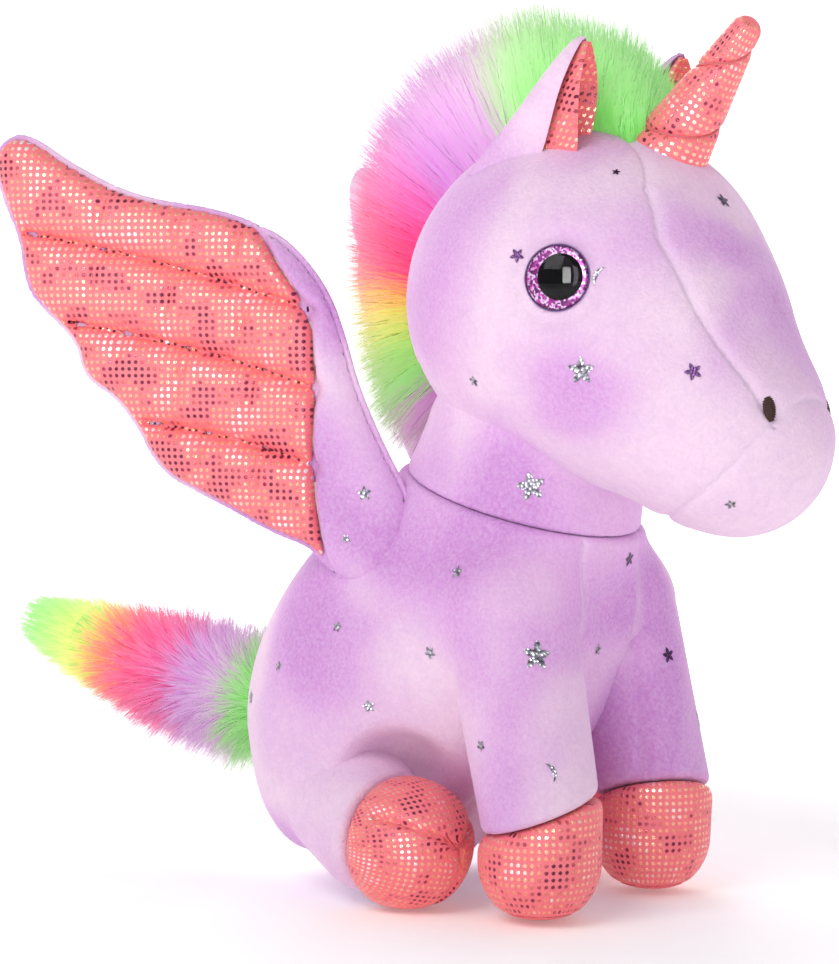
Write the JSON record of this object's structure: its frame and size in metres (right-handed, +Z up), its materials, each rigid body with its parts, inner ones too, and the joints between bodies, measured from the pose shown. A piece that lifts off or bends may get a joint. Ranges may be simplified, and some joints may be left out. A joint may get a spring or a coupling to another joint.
{
  "type": "plush unicorn",
  "caption": "Seated winged plush unicorn, with foil-dot hooves, horn and wings, and a rainbow fur mane and tail.",
  "frame": {"origin": "on the ground under the middle of the bounding box", "axes": "+Z up, -Y the way it faces, +X its own left"},
  "size_m": [0.1688, 0.319, 0.275],
  "materials": {
    "plush": "short-pile plush, lilac tie-dye with small silver foil stars",
    "foil": "coral fabric printed with a grid of small foil dots",
    "stuffing": "white polyester fibre",
    "fur": "long-pile faux fur dyed in rainbow bands",
    "backing": "knitted fur backing",
    "thread": "satin-stitch embroidery thread",
    "clear": "clear polished dome",
    "glitter": "pink glitter under the dome",
    "black": "polished",
    "plastic": "satin"
  },
  "bodies": {
    "torso": {"body_panel_right": "plush", "body_panel_left": "plush", "chest_panel": "plush", "seat_panel": "plush", "body_stuffing": "stuffing"},
    "neck": {"neck_collar": "plush", "neck_stuffing": "stuffing"},
    "head": {"head_panel_right": "plush", "head_panel_left": "plush", "forehead_gusset": "plush", "muzzle_panel": "plush", "head_stuffing": "stuffing", "horn_cover": "foil", "horn_stuffing": "stuffing", "mane_backing": "backing", "mane_fur": "fur", "eye_right_back": "plastic", "eye_right_glitter_ring": "glitter", "eye_right_pupil": "black", "eye_right_dome": "clear", "eye_right_washer": "plastic", "nostril_right": "thread", "eye_left_back": "plastic", "eye_left_glitter_ring": "glitter", "eye_left_pupil": "black", "eye_left_dome": "clear", "eye_left_washer": "plastic", "nostril_left": "thread"},
    "tail_root": {"tail_stub": "plush"},
    "tail": {"tail_backing": "backing", "tail_fur": "fur"},
    "ear_right": {"ear_right_outer": "plush", "ear_right_lining": "foil"},
    "front_leg_right": {"front_leg_right_cover": "plush", "front_leg_right_stuffing": "stuffing", "front_hoof_right_cap": "foil", "front_hoof_right_sole": "foil"},
    "rear_leg_right": {"rear_leg_right_cover": "plush", "rear_leg_right_stuffing": "stuffing", "rear_hoof_right_cap": "foil"},
    "wing_right": {"wing_right_back_panel": "plush", "wing_right_padding": "stuffing", "wing_right_foil_panel": "foil", "wing_right_arm_panel": "plush"},
    "ear_left": {"ear_left_outer": "plush", "ear_left_lining": "foil"},
    "front_leg_left": {"front_leg_left_cover": "plush", "front_leg_left_stuffing": "stuffing", "front_hoof_left_cap": "foil", "front_hoof_left_sole": "foil"},
    "rear_leg_left": {"rear_leg_left_cover": "plush", "rear_leg_left_stuffing": "stuffing", "rear_hoof_left_cap": "foil"},
    "wing_left": {"wing_left_back_panel": "plush", "wing_left_padding": "stuffing", "wing_left_foil_panel": "foil", "wing_left_arm_panel": "plush"}
  },
  "joints": [
    {"name": "head_turn", "type": "hinge", "parent": "torso", "child": "neck", "pos_m": [0, -0.055, 0.133], "axis": [0, -0.3, 0.9539], "range_deg": [-18, 18], "stiffness_Nm_per_rad": 3},
    {"name": "head_nod", "type": "hinge", "parent": "neck", "child": "head", "pos_m": [0, -0.055, 0.133], "axis": [1, 0, 0], "range_deg": [-10, 10], "stiffness_Nm_per_rad": 8},
    {"name": "tail_lift", "type": "hinge", "parent": "torso", "child": "tail_root", "pos_m": [0, 0.055, 0.05], "axis": [1, 0, 0], "range_deg": [-8, 30], "stiffness_Nm_per_rad": 1},
    {"name": "tail_swing", "type": "hinge", "parent": "tail_root", "child": "tail", "pos_m": [0, 0.055, 0.05], "axis": [0, 0, 1], "range_deg": [-30, 30], "stiffness_Nm_per_rad": 1},
    {"name": "ear_right_fold", "type": "hinge", "parent": "head", "child": "ear_right", "pos_m": [-0.03, -0.083, 0.224], "axis": [1, 0, 0], "range_deg": [-12, 12], "stiffness_Nm_per_rad": 0.2},
    {"name": "wing_right_flap", "type": "hinge", "parent": "torso", "child": "wing_right", "pos_m": [-0.03612, -0.02746, 0.099], "axis": [0, 0, 1], "range_deg": [-4, 30], "stiffness_Nm_per_rad": 1},
    {"name": "front_leg_right_swing", "type": "hinge", "parent": "torso", "child": "front_leg_right", "pos_m": [-0.026, -0.064, 0.083], "axis": [-1, 0, 0], "range_deg": [0, 20], "stiffness_Nm_per_rad": 2},
    {"name": "rear_leg_right_lift", "type": "hinge", "parent": "torso", "child": "rear_leg_right", "pos_m": [-0.033, 0.012, 0.027], "axis": [-1, 0, 0], "range_deg": [0, 25], "stiffness_Nm_per_rad": 2},
    {"name": "ear_left_fold", "type": "hinge", "parent": "head", "child": "ear_left", "pos_m": [0.03, -0.083, 0.224], "axis": [1, 0, 0], "range_deg": [-12, 12], "stiffness_Nm_per_rad": 0.2},
    {"name": "wing_left_flap", "type": "hinge", "parent": "torso", "child": "wing_left", "pos_m": [0.03612, -0.02746, 0.099], "axis": [0, 0, -1], "range_deg": [-4, 30], "stiffness_Nm_per_rad": 1},
    {"name": "front_leg_left_swing", "type": "hinge", "parent": "torso", "child": "front_leg_left", "pos_m": [0.026, -0.064, 0.083], "axis": [-1, 0, 0], "range_deg": [0, 20], "stiffness_Nm_per_rad": 2},
    {"name": "rear_leg_left_lift", "type": "hinge", "parent": "torso", "child": "rear_leg_left", "pos_m": [0.033, 0.012, 0.027], "axis": [-1, 0, 0], "range_deg": [0, 25], "stiffness_Nm_per_rad": 2}
  ]
}
